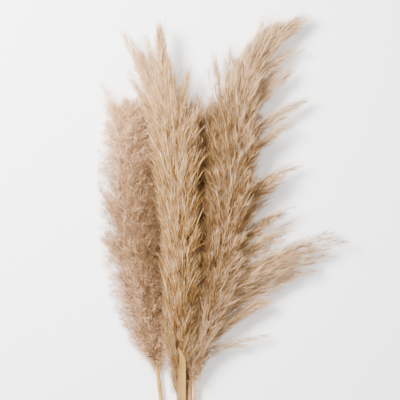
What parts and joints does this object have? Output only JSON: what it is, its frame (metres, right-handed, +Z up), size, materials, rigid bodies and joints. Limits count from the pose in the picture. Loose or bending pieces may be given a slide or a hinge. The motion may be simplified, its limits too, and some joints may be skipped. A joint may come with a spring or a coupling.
{
  "type": "pampas grass bundle",
  "caption": "Bundle of dried pampas grass lying flat: feathery tapering plumes of fine branches on slim straw stalks, with leaf sheaths.",
  "frame": {"origin": "on the surface that the bundle lies on, under the middle of its outline seen from above", "axes": "+Z up from the surface, +Y along the stalks from their cut ends to the tips of the plumes, +X to the side that the long loose locks spread to"},
  "size_m": [0.445, 1.0555, 0.1113],
  "materials": {
    "plume_left": "dry silky hair, pinkish beige",
    "plume_centre": "dry silky hair, golden beige",
    "plume_back": "dry silky hair, brown beige",
    "plume_right": "dry silky hair, tan beige",
    "stalk_left": "smooth dry straw",
    "stalk_centre": "smooth dry straw",
    "stalk_back": "smooth dry straw",
    "stalk_right": "smooth dry straw",
    "sheath_centre": "ribbed dry leaf sheath, satin",
    "leaf_right": "withered leaf, matt"
  },
  "bodies": {
    "root": {"plume_left": "plume_left", "plume_centre": "plume_centre", "plume_back": "plume_back", "plume_right": "plume_right", "stalk_left": "stalk_left", "stalk_centre": "stalk_centre", "stalk_back": "stalk_back", "stalk_right": "stalk_right", "sheath_centre": "sheath_centre", "leaf_right": "leaf_right"}
  },
  "joints": []
}
